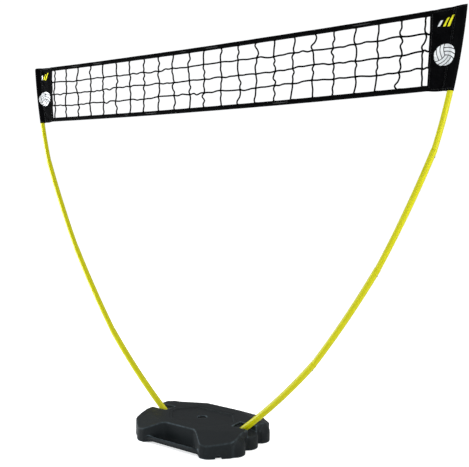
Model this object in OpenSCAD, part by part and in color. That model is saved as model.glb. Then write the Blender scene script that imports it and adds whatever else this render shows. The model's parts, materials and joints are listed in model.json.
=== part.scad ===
// Volleyball net on two bent poles that stand in one fillable base.
// Millimetres, +Z up. Origin: centre of the base's underside, on the ground.
// X runs along the net, Y across it. The object is symmetric about both vertical planes.

/* [Base] */
// Half length of the base body, without the end lobes
base_half_len = 342; // [330:1:350]
// Height of the base's flat top
base_h = 115; // [112:1:124]
// Half width of the base at its ends
base_end_half_w = 188; // [182:1:194]
// Half width of the base across its feet
foot_half_w = 286; // [276:1:296]
// Height of the ridge where the feet's vertical faces meet the sloping top
ridge_h = 76; // [70:1:84]
// Half width of the base at the back of the handle recesses
recess_half_w = 208; // [202:1:214]
// Wall thickness of the moulded tank
tank_wall = 4; // [3:0.5:5]
// Depth of the sunken hexagonal panel in the top
panel_drop = 8; // [5:0.5:9]
// Radius of the grip bars in the handle recesses
grip_r = 13; // [10:0.5:15]

/* [Filler plug] */
// Radius of the plug's skirt in the filler neck
plug_r = 16; // [14:0.5:18]
// Depth of the well that the plug's head sits in
well_depth = 12; // [11:0.5:14]

/* [Poles] */
// Outside diameter of the lowest tube; each tube above is one step thinner
pole_od = 36; // [31:0.5:38]
// Difference in diameter from one tube to the next
tube_step = 3; // [3:0.1:3.2]
// Wall thickness of the tubes
tube_wall = 1.3; // [1.2:0.05:1.35]
// Arc length of the lowest tube, foot to mouth
foot_section_len = 709; // [690:1:730]
// Arc length of each tube above its joint
section_len = 606; // [596:1:612]
// Length of the spigot that plugs into the tube below
spigot_len = 90; // [84:1:110]
// Lean of the pole from vertical at its foot, degrees
foot_lean = 51.2; // [50.5:0.1:52]
// Distance of the button hole below each tube's mouth
button_drop = 30; // [26:1:34]

/* [Net] */
// Height of the net's top corners
net_top = 2200; // [2196:1:2206]
// Height of the end panels at their outer edge
net_h = 360; // [340:1:380]
// Half distance between the end panels' inner edges
net_half_span = 1240; // [1230:1:1250]
// Sag of the top edge at mid span
top_sag = 10; // [8:1:15]
// Sag of the bottom edge at mid span
bottom_sag = 11; // [8:1:15]
// Height of the top and bottom bands
band_h = 25; // [18:1:30]
// Number of mesh cells along the net
cell_cols = 22; // [16:1:28]
// Number of mesh cells up the net
cell_rows = 4; // [3:1:5]
// Width of the mesh cords
cord_w = 5; // [3:0.5:6]

/* [Hidden] */

// colours
tank_colour = [0.16, 0.17, 0.18];
plug_colour = [0.08, 0.08, 0.09];
pole_colour = [0.88, 0.84, 0.10];
cloth_colour = [0.04, 0.04, 0.05];
steel_colour = [0.62, 0.63, 0.65];

// smoothness
round_fn = 64;
fine_fn = 32;
arc_fn = 420;
hem_fn = 1400;
cut = 1;

// base outline, all in the quarter +X +Y
recess_half_len = 107;
foot_inner_x = 196;
foot_outer_x = 238;
lobe_r = 60;
lobe_x = base_half_len - 32;
lobe_pitch = 125;
lobe_h = 48;
hex_tip_x = 205;
hex_side_x = 128;
hex_half_w = 124;
trough_x = 234;
trough_drop = 15;
trough_tilt = 11;
trough_half_w = 42;
grip_y = foot_half_w - grip_r - 7;
grip_z = grip_r + 10;

// filler plug
plug_clearance = 0.08;
well_r = plug_r + 10;
well_floor = base_h - panel_drop - well_depth;
neck_len = 12;
seal_t = 3;
head_r = plug_r + 4;
head_t = 4;

// poles: four tubes, each an arc in the XZ plane that bends towards vertical
bends = [11.7, 6.2, 5.9, 11.9];
kinks = [3.8, 2.5, 5.5];
kink_swell = 0.04;
last = len(bends) - 1;
lip = 2;
foot_x = 206;
foot_z = 30;
socket_clearance = 0.35;
socket_floor_gap = 7;
end_fit = 0.1;
boss_t = 4;

function tube_r(i) = (pole_od - i * tube_step) / 2;
function tube_len(i) = i == 0 ? foot_section_len : section_len;
function arc_r(i) = tube_len(i) / (bends[i] * PI / 180);
function turn(i, s) = s / arc_r(i) * 180 / PI;
function lean_start(i) = i == 0 ? foot_lean : lean_start(i - 1) - bends[i - 1] - kinks[i - 1];
function lean(i, s) = lean_start(i) - turn(i, s);
function tube_start(i) = i == 0 ? [foot_x, foot_z] : pole_point(i - 1, tube_len(i - 1));
function arc_centre(i) = tube_start(i) + arc_r(i) * [-cos(lean_start(i)), sin(lean_start(i))];
function pole_point(i, s) = arc_centre(i) + arc_r(i) * [cos(lean(i, s)), -sin(lean(i, s))];

// snap buttons and their springs, in the frame of at_button()
button_r = 3.6;
button_hole_r = 4.15;
button_proud = 2.6;
leg_w = 8;
leg_t = 1.2;
leg_tip = 5;
pivot_drop = 42;
pivot_r = 1.6;
pivot_clearance = 0.06;
knuckle_t = 1.0;
cheek_t = 1.2;
cheek_gap = 0.15;

// net
cloth_t = 3;
sleeve_clearance = 0.3;
sleeve_t = 1.6;
hem_out = tube_r(last) + sleeve_clearance + sleeve_t + 0.6;
top_cap_t = 4;
edge_drop = 6;
edge_gap = 20;
mesh_t = 4;
band_t = 8;
rope_r = 2.4;
channel_r = 2.7;
panel_steps = 10;
net_bottom = net_top - net_h;
sleeve_top = section_len - lip + end_fit + top_cap_t + 0.5;
cell_w = 2 * (net_half_span - edge_gap) / cell_cols;
cord_x = [for (k = [0:cell_cols]) -net_half_span + edge_gap + k * cell_w];
edge_x = concat([-net_half_span], cord_x, [net_half_span]);

function hang(x, sag) = sag * (1 - pow(x / net_half_span, 2));
function top_edge(x) = net_top - edge_drop - hang(x, top_sag);
function bottom_edge(x) = net_bottom + edge_drop - hang(x, bottom_sag);
function row_height(x, f) =
    (bottom_edge(x) + band_h) * (1 - f) + (top_edge(x) - band_h) * f;
function hem_radius(sag) = (pow(net_half_span, 2) + pow(sag, 2)) / (2 * sag);

// ---------- shared shapes ----------

// puts a part of the right pole on the named side
module side(name) {
    rotate([0, 0, name == "left" ? 180 : 0]) children();
}

// solid rod of radius r along pole arc i, from arc length s0 to s1
module pole_rod(i, s0, s1, r) {
    c = arc_centre(i);
    translate([c.x, 0, c.y]) rotate([90, 0, 0]) rotate([0, 0, -lean(i, s0)])
        rotate_extrude(angle = turn(i, s1 - s0), $fn = arc_fn)
            translate([arc_r(i), 0]) circle(r, $fn = round_fn);
}

// places children on the pole at arc length s: +Z along the pole, +X outwards and down
module at_pole(i, s) {
    p = pole_point(i, s);
    translate([p.x, 0, p.y]) rotate([0, lean(i, s), 0]) children();
}

module at_button(i) {
    at_pole(i, tube_len(i) - lip - button_drop) children();
}

module button_hole(i) {
    at_button(i) rotate([0, 90, 0]) cylinder(r = button_hole_r, h = pole_od, $fn = fine_fn);
}

// a quarter outline given as points in +X +Y, mirrored to all four quarters
function four_fold(q) = concat(
    q,
    [for (k = [len(q) - 1:-1:0]) [-q[k].x, q[k].y]],
    [for (p = q) [-p.x, -p.y]],
    [for (k = [len(q) - 1:-1:0]) [q[k].x, -q[k].y]]
);

// ---------- base ----------

// convex body of the tank, every face drawn in by d
module tank_body(d) {
    lower = [[base_half_len - d, base_end_half_w - d], [foot_outer_x, foot_half_w - d]];
    upper = [[base_half_len - 4 - d, base_end_half_w - 10 - d], [recess_half_len, recess_half_w - d]];
    hull() {
        translate([0, 0, d]) linear_extrude(ridge_h - d) polygon(four_fold(lower));
        translate([0, 0, ridge_h]) linear_extrude(base_h - ridge_h - d) polygon(four_fold(upper));
    }
}

// handle recess on one long side, every wall moved out by d
module recess(d) {
    back = recess_half_w - d;
    front = foot_half_w + 10;
    flare = (front - back) * (foot_inner_x - recess_half_len) / (foot_half_w - recess_half_w);
    translate([0, 0, -cut]) linear_extrude(base_h + 2 * cut)
        polygon([
            [-recess_half_len - d, back], [recess_half_len + d, back],
            [recess_half_len + d + flare, front], [-recess_half_len - d - flare, front]
        ]);
}

// open trough that the pole leaves the base through
module trough(d) {
    translate([trough_x, 0, base_h - trough_drop]) rotate([0, trough_tilt, 0])
        translate([-d, -trough_half_w - d, -d]) cube([200, 2 * (trough_half_w + d), 90]);
}

module hex_panel(d) {
    translate([0, 0, base_h - panel_drop - d]) linear_extrude(panel_drop + d + cut)
        polygon(four_fold([[hex_tip_x + d, 24], [hex_side_x + d, hex_half_w + d]]));
}

module end_lobes() {
    for (y = [-lobe_pitch, 0, lobe_pitch]) translate([lobe_x, y, 0]) {
        cylinder(r = lobe_r, h = lobe_h, $fn = round_fn);
        translate([0, 0, lobe_h]) intersection() {
            sphere(r = lobe_r, $fn = round_fn);
            cylinder(r = lobe_r, h = lobe_r, $fn = round_fn);
        }
    }
}

module socket(r, from) {
    pole_rod(0, from, foot_section_len / 2, r);
}

module tank_cavity() {
    difference() {
        tank_body(tank_wall);
        for (a = [0, 180]) rotate([0, 0, a]) {
            recess(tank_wall);
            trough(tank_wall);
            socket(tube_r(0) + socket_clearance + boss_t, -socket_floor_gap - boss_t);
        }
        hex_panel(tank_wall);
        translate([0, 0, well_floor - tank_wall])
            cylinder(r = well_r + tank_wall, h = base_h, $fn = round_fn);
        translate([0, 0, well_floor - neck_len])
            cylinder(r = plug_r + boss_t, h = base_h, $fn = round_fn);
    }
}

module grip_bar() {
    translate([-foot_inner_x, grip_y, grip_z]) rotate([0, 90, 0])
        cylinder(r = grip_r, h = 2 * foot_inner_x, $fn = round_fn);
}

module base_tank() {
    color(tank_colour) difference() {
        union() {
            difference() {
                union() {
                    tank_body(0);
                    for (a = [0, 180]) rotate([0, 0, a]) end_lobes();
                }
                for (a = [0, 180]) rotate([0, 0, a]) {
                    recess(0);
                    trough(0);
                }
                hex_panel(0);
                tank_cavity();
            }
            for (a = [0, 180]) rotate([0, 0, a]) grip_bar();
        }
        for (a = [0, 180]) rotate([0, 0, a])
            socket(tube_r(0) + socket_clearance, -socket_floor_gap);
        translate([0, 0, well_floor]) cylinder(r = well_r, h = base_h, $fn = round_fn);
        translate([0, 0, well_floor - neck_len - cut])
            cylinder(r = plug_r, h = base_h, $fn = round_fn);
    }
}

// ---------- filler plug ----------

module filler_plug() {
    head_z = well_floor + seal_t;
    color(plug_colour) {
        translate([0, 0, well_floor - neck_len + cut])
            cylinder(r = plug_r - plug_clearance, h = neck_len + seal_t, $fn = round_fn);
        translate([0, 0, head_z]) cylinder(r = head_r, h = head_t, $fn = round_fn);
        translate([-head_r + 2, -3, head_z]) cube([2 * head_r - 4, 6, head_t + 4]);
    }
}

module plug_seal() {
    color(plug_colour) translate([0, 0, well_floor]) difference() {
        cylinder(r = head_r - 0.5, h = seal_t, $fn = round_fn);
        translate([0, 0, -cut])
            cylinder(r = plug_r + 0.2, h = seal_t + 2 * cut, $fn = round_fn);
    }
}

// ---------- poles ----------

// all of tube i as a solid: spigot inside the tube below, ball at the kink, arc above
module tube_solid(i, r, extra) {
    if (i > 0) {
        below = tube_len(i - 1);
        pole_rod(i - 1, below - spigot_len - extra, below, r);
        p = tube_start(i);
        translate([p.x, 0, p.y]) sphere(r + kink_swell, $fn = round_fn);
    }
    pole_rod(i, i == 0 ? -extra : 0, tube_len(i) - lip + extra, r);
}

module tube(i, name) {
    color(pole_colour) side(name) difference() {
        tube_solid(i, tube_r(i), 0);
        tube_solid(i, tube_r(i) - tube_wall, cut);
        if (i > 0) button_hole(i - 1);
        if (i < last) button_hole(i);
    }
}

module foot_plug(name) {
    inner = tube_r(0) - tube_wall - end_fit;
    color(plug_colour) side(name) at_pole(0, -end_fit) {
        cylinder(r = inner, h = 16, $fn = round_fn);
        translate([0, 0, -3]) cylinder(r = tube_r(0), h = 3, $fn = round_fn);
    }
}

module top_cap(name) {
    inner = tube_r(last) - tube_wall - end_fit;
    color(plug_colour) side(name) at_pole(last, section_len - lip + end_fit) {
        translate([0, 0, -14]) cylinder(r = inner, h = 14, $fn = round_fn);
        cylinder(r1 = tube_r(last), r2 = tube_r(last) - 3, h = top_cap_t, $fn = round_fn);
    }
}

// ---------- snap buttons ----------

// joint i is the mouth of tube i; the button sits in the spigot of tube i + 1
function spigot_bore_r(i) = tube_r(i + 1) - tube_wall;
function leg_x(i) = sqrt(pow(spigot_bore_r(i), 2) - pow(leg_w / 2, 2)) - 0.4 - leg_t;
function pivot_x(i) = leg_x(i) + leg_t - 0.2 - pivot_r - leg_t / 2;

module pivot_pin(i, r, h) {
    translate([pivot_x(i), 0, -pivot_drop]) rotate([90, 0, 0])
        cylinder(r = r, h = h, center = true, $fn = fine_fn);
}

module snap_button(i, name) {
    pin_from = leg_x(i) + 0.2;
    pin_to = tube_r(i) + button_proud;
    color(steel_colour) side(name) at_button(i) {
        difference() {
            union() {
                translate([leg_x(i), -leg_w / 2, -pivot_drop])
                    cube([leg_t, leg_w, pivot_drop + leg_tip]);
                pivot_pin(i, pivot_r + knuckle_t, leg_w);
            }
            pivot_pin(i, pivot_r + pivot_clearance, leg_w + 2);
        }
        translate([pin_from, 0, 0]) rotate([0, 90, 0]) {
            cylinder(r = button_r, h = pin_to - pin_from - 1, $fn = fine_fn);
            translate([0, 0, pin_to - pin_from - 1])
                cylinder(r1 = button_r, r2 = button_r - 1, h = 1, $fn = fine_fn);
        }
    }
}

module button_spring(i, name) {
    cheek_y = leg_w / 2 + cheek_gap;
    outer_y = cheek_y + cheek_t;
    wall_x = sqrt(pow(spigot_bore_r(i), 2) - pow(outer_y, 2)) - 0.3;
    color(steel_colour) side(name) at_button(i) {
        pivot_pin(i, pivot_r, 2 * outer_y);
        for (y = [-outer_y, cheek_y]) translate([-wall_x, y, -pivot_drop - 2.2])
            cube([wall_x + pivot_x(i) + 1.8, cheek_t, 4.4]);
        translate([-wall_x, -outer_y, -pivot_drop - 2.2]) cube([leg_t, 2 * outer_y, pivot_drop]);
    }
}

// ---------- net ----------

// arc length on the top tube at which the pole reaches height z
function height_to_s(z) =
    let (a = asin((arc_centre(last).y - z) / arc_r(last)))
    (lean_start(last) - a) * PI / 180 * arc_r(last);

module end_panel(name) {
    s0 = height_to_s(net_bottom);
    s1 = sleeve_top;
    outer = [for (k = [0:panel_steps])
        let (z = net_bottom + net_h * k / panel_steps, p = pole_point(last, height_to_s(z)))
        [p.x + hem_out, z]];
    inner = [[net_half_span, net_top - edge_drop], [net_half_span, net_bottom + edge_drop]];
    color(cloth_colour) side(name) difference() {
        union() {
            translate([0, cloth_t / 2, 0]) rotate([90, 0, 0])
                linear_extrude(cloth_t) polygon(concat(outer, inner));
            intersection() {
                pole_rod(last, s0 - 20, s1 + sleeve_t, tube_r(last) + sleeve_clearance + sleeve_t);
                translate([net_half_span, -50, net_bottom]) cube([250, 100, net_h]);
            }
        }
        pole_rod(last, s0 - 40, s1, tube_r(last) + sleeve_clearance);
    }
}

// strip of the net's plane between two edges that are given at every cord
module net_strip(upper, lower, thickness) {
    translate([0, thickness / 2, 0]) rotate([90, 0, 0]) linear_extrude(thickness)
        polygon(concat(
            [for (k = [0:len(edge_x) - 1]) [edge_x[k], lower[k]]],
            [for (k = [len(edge_x) - 1:-1:0]) [edge_x[k], upper[k]]]
        ));
}

// opening between cords k and k + 1 in row j
function cell(k, j) =
    let (
        x0 = edge_x[k] + (k == 0 ? 0 : cord_w / 2),
        x1 = edge_x[k + 1] - (k == len(edge_x) - 2 ? 0 : cord_w / 2),
        f0 = j / cell_rows,
        f1 = (j + 1) / cell_rows
    )
    [
        [x0, row_height(x0, f0) + cord_w / 2], [x1, row_height(x1, f0) + cord_w / 2],
        [x1, row_height(x1, f1) - cord_w / 2], [x0, row_height(x0, f1) - cord_w / 2]
    ];

module net_mesh() {
    color(cloth_colour) difference() {
        net_strip([for (x = edge_x) top_edge(x) - band_h], [for (x = edge_x) bottom_edge(x) + band_h],
            mesh_t);
        translate([0, mesh_t, 0]) rotate([90, 0, 0]) linear_extrude(2 * mesh_t)
            for (k = [0:len(edge_x) - 2], j = [0:cell_rows - 1]) polygon(cell(k, j));
    }
}

// cord that hangs between the end panels, its ends at height z and its middle sag lower
module hung_cord(z, sag, r, extra) {
    big = hem_radius(sag);
    half = asin((net_half_span + extra) / big);
    translate([0, 0, z - sag + big]) rotate([90, 0, 0]) rotate([0, 0, -90 - half])
        rotate_extrude(angle = 2 * half, $fn = hem_fn) translate([big, 0]) circle(r, $fn = fine_fn);
}

module top_band() {
    color(cloth_colour) difference() {
        net_strip([for (x = edge_x) top_edge(x)], [for (x = edge_x) top_edge(x) - band_h], band_t);
        hung_cord(top_edge(net_half_span) - band_h / 2, top_sag, channel_r, cut);
    }
}

module bottom_band() {
    color(cloth_colour) difference() {
        net_strip([for (x = edge_x) bottom_edge(x) + band_h], [for (x = edge_x) bottom_edge(x)], band_t);
        hung_cord(bottom_edge(net_half_span) + band_h / 2, bottom_sag, channel_r, cut);
    }
}

module top_cord() {
    color(cloth_colour)
        hung_cord(top_edge(net_half_span) - band_h / 2, top_sag, rope_r, -cut);
}

module bottom_cord() {
    color(cloth_colour)
        hung_cord(bottom_edge(net_half_span) + band_h / 2, bottom_sag, rope_r, -cut);
}

// ---------- nodes ----------

base_tank();
filler_plug();
plug_seal();
tube(0, "left");  // left_foot_section
tube(1, "left");  // left_lower_section
tube(2, "left");  // left_upper_section
tube(3, "left");  // left_top_section
tube(0, "right");  // right_foot_section
tube(1, "right");  // right_lower_section
tube(2, "right");  // right_upper_section
tube(3, "right");  // right_top_section
foot_plug("left");  // left_foot_plug
foot_plug("right");  // right_foot_plug
top_cap("left");  // left_top_cap
top_cap("right");  // right_top_cap
snap_button(0, "left");  // left_lower_snap_button
snap_button(1, "left");  // left_middle_snap_button
snap_button(2, "left");  // left_upper_snap_button
snap_button(0, "right");  // right_lower_snap_button
snap_button(1, "right");  // right_middle_snap_button
snap_button(2, "right");  // right_upper_snap_button
button_spring(0, "left");  // left_lower_button_spring
button_spring(1, "left");  // left_middle_button_spring
button_spring(2, "left");  // left_upper_button_spring
button_spring(0, "right");  // right_lower_button_spring
button_spring(1, "right");  // right_middle_button_spring
button_spring(2, "right");  // right_upper_button_spring
end_panel("left");  // left_end_panel
end_panel("right");  // right_end_panel
net_mesh();
top_band();
bottom_band();
top_cord();
bottom_cord();
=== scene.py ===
"""Volleyball net on poles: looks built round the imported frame, in metres, +Z up."""

import json
import math

import bpy
import numpy as np
from mathutils import Matrix, Vector


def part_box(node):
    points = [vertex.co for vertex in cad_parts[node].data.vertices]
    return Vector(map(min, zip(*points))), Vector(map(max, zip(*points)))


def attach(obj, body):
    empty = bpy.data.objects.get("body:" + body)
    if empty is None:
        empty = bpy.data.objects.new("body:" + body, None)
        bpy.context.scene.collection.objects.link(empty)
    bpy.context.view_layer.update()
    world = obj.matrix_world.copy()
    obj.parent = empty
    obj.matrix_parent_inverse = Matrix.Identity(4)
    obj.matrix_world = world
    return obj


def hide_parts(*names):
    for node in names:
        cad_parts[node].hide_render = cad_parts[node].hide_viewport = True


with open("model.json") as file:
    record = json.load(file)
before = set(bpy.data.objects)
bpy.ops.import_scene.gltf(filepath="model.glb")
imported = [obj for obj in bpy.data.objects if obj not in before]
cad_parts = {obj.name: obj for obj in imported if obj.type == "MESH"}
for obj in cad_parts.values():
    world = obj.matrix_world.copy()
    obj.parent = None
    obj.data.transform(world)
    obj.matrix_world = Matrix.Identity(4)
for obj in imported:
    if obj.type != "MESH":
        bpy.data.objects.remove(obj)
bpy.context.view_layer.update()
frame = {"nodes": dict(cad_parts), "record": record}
nodes = frame["nodes"]
MM = 0.001
SIDES = (("left", -1), ("right", 1))
rng = np.random.default_rng(11)


# ---------------------------------------------------------------- mesh helpers

class Shape:
    """Vertices, faces and texture coordinates that become one mesh."""

    def __init__(self):
        self.verts, self.faces, self.uvs = [], [], []
        self.count = 0

    def add(self, verts, faces, uvs=None):
        """Adds faces that index into verts; uvs has one row for each corner of each face."""
        self.verts.append(np.asarray(verts, float))
        self.faces.extend([tuple(int(i) + self.count for i in face) for face in faces])
        corners = sum(len(face) for face in faces)
        self.uvs.append(np.zeros((corners, 2)) if uvs is None else np.asarray(uvs, float).reshape(-1, 2))
        self.count += len(verts)

    def build(self, name, material):
        mesh = bpy.data.meshes.new(name)
        mesh.from_pydata(np.concatenate(self.verts).tolist(), [], self.faces)
        layer = mesh.uv_layers.new(name="UVMap")
        layer.data.foreach_set("uv", np.concatenate(self.uvs).astype(np.float32).ravel())
        mesh.polygons.foreach_set("use_smooth", [True] * len(mesh.polygons))
        mesh.materials.append(material)
        mesh.update()
        piece = bpy.data.objects.new(name, mesh)
        bpy.context.scene.collection.objects.link(piece)
        return piece


def set_attribute(piece, name, values):
    """Stores one number for each vertex, which a material reads by name."""
    attribute = piece.data.attributes.new(name, "FLOAT", "POINT")
    attribute.data.foreach_set("value", np.asarray(values, np.float32))


def place(piece, body, slot, *replaced):
    """Rides a piece on its body, and hides the CAD nodes it stands for."""
    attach(piece, body)
    if replaced:
        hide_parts(*replaced)
    return piece


def smoothstep(t):
    t = np.clip(t, 0.0, 1.0)
    return t * t * (3.0 - 2.0 * t)


def grid_faces(rows, cols, wrap_rows=False, wrap_cols=False):
    """Quads of a rows by cols grid of vertices, and the grid place of each corner."""
    i = np.arange(rows if wrap_rows else rows - 1)[:, None]
    j = np.arange(cols if wrap_cols else cols - 1)[None, :]
    corners = []
    for di, dj in ((0, 0), (0, 1), (1, 1), (1, 0)):
        corners.append(((i + di) % rows) * cols + (j + dj) % cols)
    faces = np.stack(np.broadcast_arrays(*corners), -1).reshape(-1, 4)
    places = []
    for di, dj in ((0, 0), (0, 1), (1, 1), (1, 0)):
        places.append(np.stack(np.broadcast_arrays(i + di, j + dj), -1))
    return faces, np.stack(places, 2).reshape(-1, 4, 2)


def frames_along(path):
    """Two unit vectors square to the path at each of its points."""
    tangent = np.gradient(path, axis=0)
    tangent /= np.linalg.norm(tangent, axis=1)[:, None]
    guide = np.array((0.0, 1.0, 0.0))
    across = guide - (tangent @ guide)[:, None] * tangent
    across /= np.linalg.norm(across, axis=1)[:, None]
    return across, np.cross(tangent, across)


def add_cord(shape, path, radius, sides=8, pitch=0.009):
    """Round cord along a path with closed ends. Texture: u goes round it, v counts twists."""
    path = np.asarray(path, float)
    radius = np.broadcast_to(np.asarray(radius, float), (len(path),))
    across, up = frames_along(path)
    turn = np.arange(sides) * 2 * math.pi / sides
    ring = across[:, None] * np.cos(turn)[:, None] + up[:, None] * np.sin(turn)[:, None]
    verts = (path[:, None] + ring * radius[:, None, None]).reshape(-1, 3)
    faces, places = grid_faces(len(path), sides, wrap_cols=True)
    length = np.concatenate([[0.0], np.cumsum(np.linalg.norm(np.diff(path, axis=0), axis=1))])
    uvs = np.stack([places[..., 1] / sides, length[places[..., 0]] / pitch], -1)
    shape.add(verts, faces[:, ::-1], uvs[:, ::-1])
    ends = [tuple(range(sides)), tuple(range(sides))[::-1]]
    shape.add(verts[:sides], [ends[0]])
    shape.add(verts[-sides:], [ends[1]])


def smooth_path(points, per_span):
    """Catmull-Rom curve through points, per_span steps between neighbours."""
    points = np.asarray(points, float)
    padded = np.vstack([2 * points[0] - points[1], points, 2 * points[-1] - points[-2]])
    t = np.linspace(0, 1, per_span, endpoint=False)[:, None]
    spans = []
    for a, b, c, d in zip(padded, padded[1:], padded[2:], padded[3:]):
        spans.append(0.5 * (2 * b + (c - a) * t + (2 * a - 5 * b + 4 * c - d) * t ** 2
                            + (3 * b - a - 3 * c + d) * t ** 3))
    return np.vstack(spans + [points[-1:]])


# ---------------------------------------------------------------- materials

class Recipe:
    """Short names for building one node material."""

    def __init__(self, name):
        self.material = bpy.data.materials.new(name)
        self.material.use_nodes = True
        self.tree = self.material.node_tree
        self.shader = self.tree.nodes["Principled BSDF"]
        self.place = self.add("ShaderNodeTexCoord").outputs["Object"]

    def add(self, kind, **values):
        node = self.tree.nodes.new(kind)
        for key, value in values.items():
            setattr(node, key, value)
        return node

    def put(self, socket, value):
        """Gives a socket a number, a colour or another node's output."""
        if isinstance(value, bpy.types.NodeSocket):
            self.tree.links.new(value, socket)
        else:
            socket.default_value = value

    def noise(self, scale, detail=4.0, rough=0.55, vector=None, distort=0.0):
        node = self.add("ShaderNodeTexNoise")
        self.put(node.inputs["Vector"], vector or self.place)
        for key, number in (("Scale", scale), ("Detail", detail), ("Roughness", rough),
                            ("Distortion", distort)):
            node.inputs[key].default_value = number
        return node.outputs["Fac"]

    def cells(self, scale):
        node = self.add("ShaderNodeTexVoronoi")
        self.put(node.inputs["Vector"], self.place)
        node.inputs["Scale"].default_value = scale
        return node.outputs["Distance"]

    def stretch(self, x, y, z):
        node = self.add("ShaderNodeMapping")
        self.put(node.inputs["Vector"], self.place)
        node.inputs["Scale"].default_value = (x, y, z)
        return node.outputs["Vector"]

    def maths(self, operation, a, b=0.5, clamp=False):
        node = self.add("ShaderNodeMath", operation=operation, use_clamp=clamp)
        self.put(node.inputs[0], a)
        self.put(node.inputs[1], b)
        return node.outputs[0]

    def wave(self, value, pitch):
        """Sine wave of a length value, 0 to 1, one wave each pitch."""
        angle = self.maths("MULTIPLY", value, 2 * math.pi / pitch)
        return self.maths("MULTIPLY_ADD", self.maths("SINE", angle), 0.5)

    def axes(self, vector=None):
        node = self.add("ShaderNodeSeparateXYZ")
        self.put(node.inputs[0], vector or self.place)
        return node.outputs["X"], node.outputs["Y"], node.outputs["Z"]

    def uv(self):
        node = self.add("ShaderNodeUVMap", uv_map="UVMap")
        return self.axes(node.outputs["UV"])[:2]

    def tube_space(self, squeeze):
        """Vector that wraps seamlessly round a tube, squeezed along it."""
        around, along = self.uv()
        angle = self.maths("MULTIPLY", around, 2 * math.pi)
        node = self.add("ShaderNodeCombineXYZ")
        self.put(node.inputs["X"], self.maths("COSINE", angle))
        self.put(node.inputs["Y"], self.maths("SINE", angle))
        self.put(node.inputs["Z"], self.maths("MULTIPLY", along, squeeze))
        return node.outputs[0]

    def ramp(self, value, low, high, a=0.0, b=1.0):
        node = self.add("ShaderNodeMapRange", interpolation_type="SMOOTHSTEP")
        self.put(node.inputs["Value"], value)
        for key, number in (("From Min", low), ("From Max", high), ("To Min", a), ("To Max", b)):
            node.inputs[key].default_value = number
        return node.outputs["Result"]

    def mix(self, factor, a, b):
        node = self.add("ShaderNodeMix", data_type="RGBA")
        sockets = {s.identifier: s for s in node.inputs}
        self.put(sockets["Factor_Float"], factor)
        self.put(sockets["A_Color"], a)
        self.put(sockets["B_Color"], b)
        return next(s for s in node.outputs if s.identifier == "Result_Color")

    def attribute(self, name):
        return self.add("ShaderNodeAttribute", attribute_name=name).outputs["Fac"]

    def bump(self, height, strength, distance, under=None):
        node = self.add("ShaderNodeBump")
        self.put(node.inputs["Height"], height)
        node.inputs["Strength"].default_value = strength
        node.inputs["Distance"].default_value = distance
        if under:
            self.put(node.inputs["Normal"], under)
        return node.outputs["Normal"]

    def finish(self, color, roughness, normal, **extra):
        self.put(self.shader.inputs["Base Color"], color)
        self.put(self.shader.inputs["Roughness"], roughness)
        self.put(self.shader.inputs["Normal"], normal)
        for key, value in extra.items():
            self.put(self.shader.inputs[key.replace("_", " ")], value)
        return self.material


def grey(level, blue=1.0):
    return (level, level, level * blue, 1.0)


def tank_plastic():
    """Charcoal moulded polyethylene: leathery grain, cloudy sheen, pale ridges that are partly scuffs and
    partly a painted highlight, dust.
    """
    m = Recipe("tank_plastic")
    cloud = m.noise(6, 5, 0.6)
    tone = m.mix(m.ramp(cloud, 0.35, 0.7), (0.0052, 0.0078, 0.0092, 1), (0.0090, 0.0122, 0.0138, 1))
    speck = m.ramp(m.noise(420, 2, 0.5), 0.62, 0.74)
    tone = m.mix(m.maths("MULTIPLY", speck, 0.3), tone, grey(0.035, 1.05))
    patchy = m.ramp(m.noise(45, 6, 0.7), 0.30, 0.62)
    # Painted highlight mixed with real scuffing: ridges and the top of the grip bar are painted pale
    # bluish.
    wear_and_highlight = m.maths("MULTIPLY", m.attribute("edge"), patchy, True)
    tone = m.mix(m.maths("MULTIPLY", wear_and_highlight, 0.75), tone, (0.10, 0.135, 0.155, 1))
    scratch = m.ramp(m.noise(26, 8, 0.75, m.stretch(1, 9, 3), 0.4), 0.66, 0.70)
    tone = m.mix(m.maths("MULTIPLY", scratch, 0.12), tone, grey(0.07, 1.05))
    dust = m.maths("MULTIPLY", m.attribute("dust"), m.ramp(m.noise(22, 6, 0.7), 0.25, 0.8), True)
    tone = m.mix(m.maths("MULTIPLY", dust, 0.14), tone, (0.085, 0.08, 0.075, 1))
    grain = m.bump(m.cells(560), 0.30, 0.0006)
    grain = m.bump(m.noise(1400, 2, 0.5), 0.20, 0.0003, grain)
    grain = m.bump(m.noise(15, 3, 0.5), 0.20, 0.004, grain)
    rough = m.maths("ADD", m.ramp(cloud, 0.3, 0.7, 0.46, 0.60), m.maths("MULTIPLY", dust, 0.2))
    return m.finish(tone, rough, grain, Specular_IOR_Level=0.2)


def hard_plastic(name, dark, light):
    """Black injection-moulded plastic with faint swirls and a fine satin grain."""
    m = Recipe(name)
    tone = m.mix(m.noise(60, 4), grey(dark), grey(light))
    swirl = m.ramp(m.noise(90, 6, 0.7, m.stretch(1, 1, 6)), 0.55, 0.75, 0.0, 0.3)
    tone = m.mix(swirl, tone, grey(4 * light))
    rough = m.ramp(m.noise(40), 0.3, 0.7, 0.38, 0.55)
    return m.finish(tone, rough, m.bump(m.noise(900, 3), 0.3, 0.0004), Specular_IOR_Level=0.2)


def seal_rubber():
    m = Recipe("seal_rubber")
    bloom = m.ramp(m.noise(150, 5), 0.35, 0.75)
    tone = m.mix(bloom, grey(0.010), grey(0.032, 0.95))
    rough = m.ramp(m.noise(80, 4), 0.3, 0.7, 0.62, 0.82)
    return m.finish(tone, rough, m.bump(m.noise(1200, 3), 0.4, 0.0003))


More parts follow.
